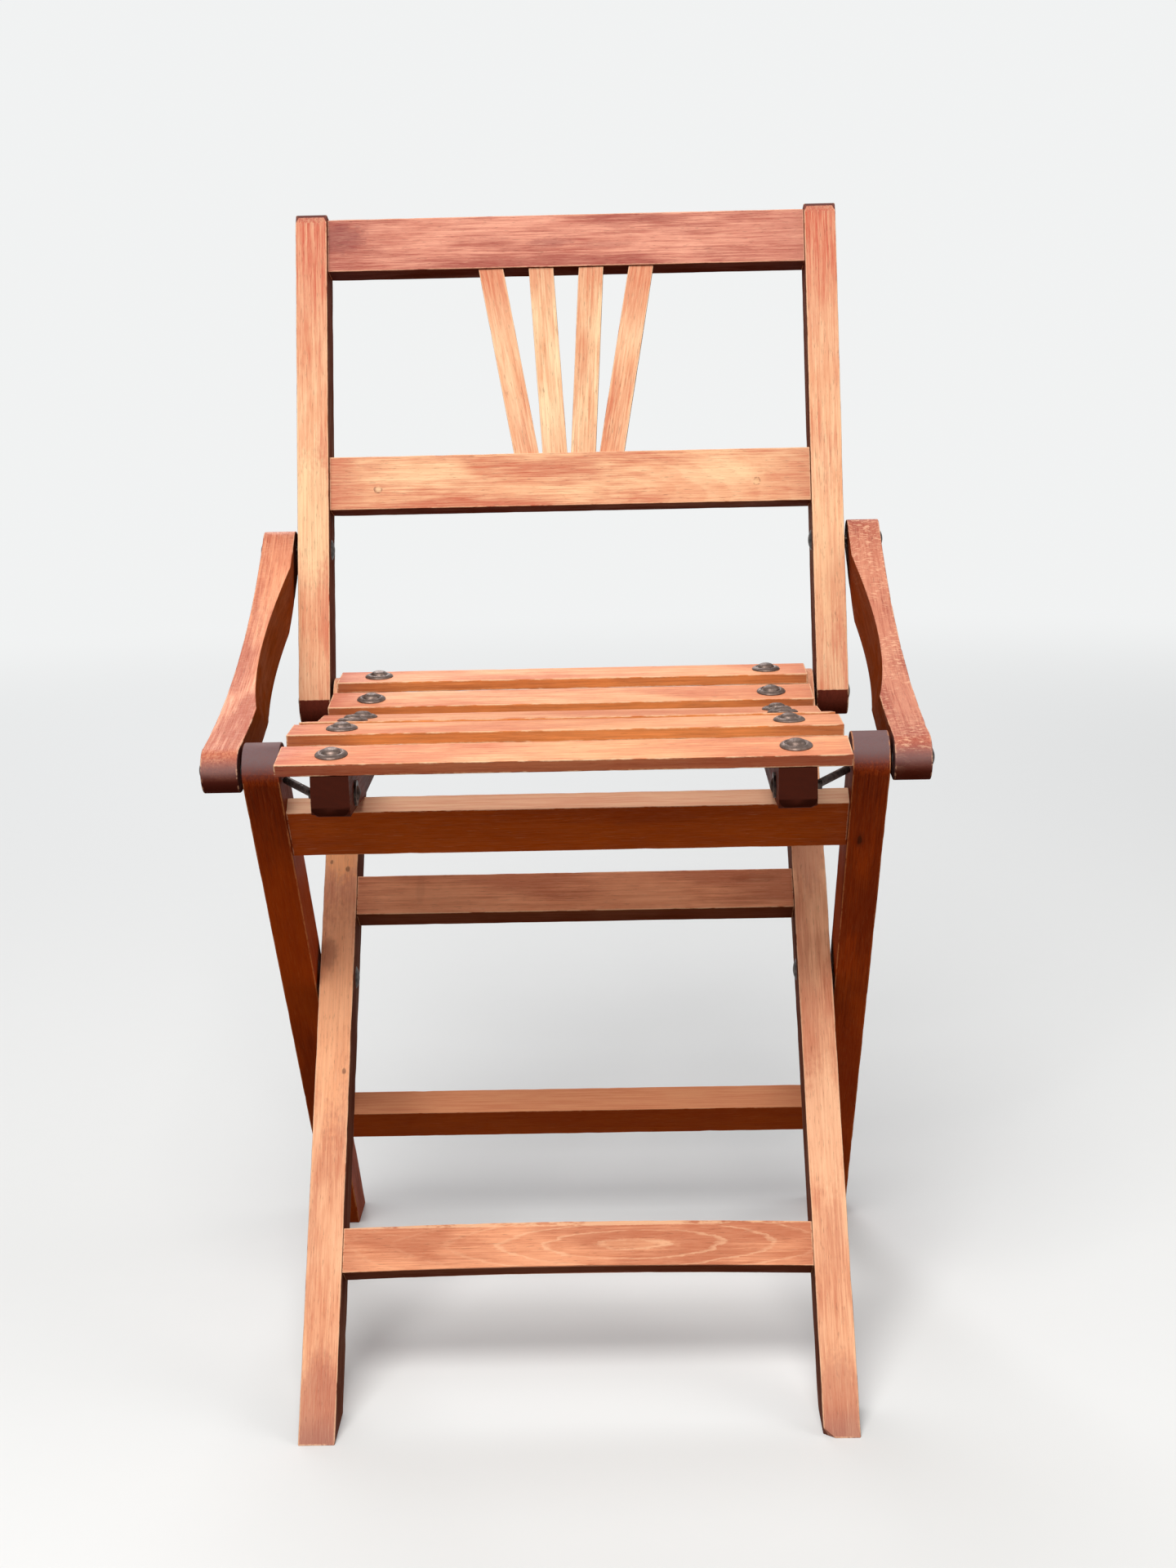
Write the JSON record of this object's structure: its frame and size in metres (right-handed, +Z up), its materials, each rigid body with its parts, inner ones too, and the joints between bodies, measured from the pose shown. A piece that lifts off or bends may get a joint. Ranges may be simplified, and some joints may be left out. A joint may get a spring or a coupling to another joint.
{
  "type": "slatted folding chair",
  "caption": "Small wooden folding armchair: scissor legs, a wave-shaped slatted seat with riveted slats, curved arms and a hinged back with a fan of flat splats.",
  "frame": {"origin": "middle of the bounding box, on the floor", "axes": "+Z up, -Y the front of the seat, +X to the right seen from the front"},
  "size_m": [0.3674, 0.367, 0.6128],
  "materials": {
    "timber_red": "satin",
    "timber_light": "satin",
    "timber_dark": "satin",
    "aged_steel": "satin"
  },
  "bodies": {
    "inner_frame": {"inner_leg_left": "timber_red", "inner_leg_right": "timber_red", "inner_rail_upper": "timber_red", "inner_rail_lower": "timber_red", "scissor_pins": "aged_steel", "back_hinge_pins": "aged_steel"},
    "outer_frame": {"outer_leg_left": "timber_dark", "outer_leg_right": "timber_dark", "outer_rail_upper": "timber_dark", "outer_rail_lower": "timber_dark"},
    "back": {"back_post_left": "timber_red", "back_post_right": "timber_red", "back_rail_top": "timber_red", "back_rail_lower": "timber_light", "back_splat_1": "timber_light", "back_splat_2": "timber_light", "back_splat_3": "timber_light", "back_splat_4": "timber_light", "arm_rear_pins": "aged_steel"},
    "arm_left": {"arm_left": "timber_red", "arm_stud_left": "aged_steel"},
    "arm_right": {"arm_right": "timber_red", "arm_stud_right": "aged_steel"},
    "seat": {"seat_bearer_left": "timber_dark", "seat_bearer_right": "timber_dark", "seat_slat_1": "timber_red", "seat_slat_2": "timber_red", "seat_slat_3": "timber_red", "seat_slat_4": "timber_red", "seat_slat_5": "timber_red", "seat_slat_6": "timber_light", "slat_rivets": "aged_steel", "seat_pegs": "aged_steel", "seat_peg_washers": "aged_steel"}
  },
  "joints": [
    {"name": "leg_fold", "type": "hinge", "parent": "inner_frame", "child": "outer_frame", "pos_m": [0, -0.0171, 0.1932], "axis": [1, 0, 0], "range_deg": [0, 70]},
    {"name": "back_fold", "type": "hinge", "parent": "inner_frame", "child": "back", "pos_m": [0, 0.08961, 0.33127], "axis": [1, 0, 0], "range_deg": [0, 116.15]},
    {"name": "seat_fold", "type": "hinge", "parent": "inner_frame", "child": "seat", "pos_m": [0, 0.08961, 0.33127], "axis": [1, 0, 0], "range_deg": [0, 26.62]},
    {"name": "arm_left_fold", "type": "hinge", "parent": "back", "child": "arm_left", "pos_m": [-0.1715, 0.11472, 0.41769], "axis": [1, 0, 0], "range_deg": [-94.53, 0]},
    {"name": "arm_right_fold", "type": "hinge", "parent": "back", "child": "arm_right", "pos_m": [0.1715, 0.11472, 0.41769], "axis": [1, 0, 0], "range_deg": [-94.53, 0]}
  ],
  "couplings": [
    {"joint": "back_fold", "follows": "leg_fold", "ratio": 1.659},
    {"joint": "seat_fold", "follows": "leg_fold", "ratio": 0.38},
    {"joint": "arm_left_fold", "follows": "leg_fold", "ratio": -1.3502},
    {"joint": "arm_right_fold", "follows": "leg_fold", "ratio": -1.3502}
  ]
}
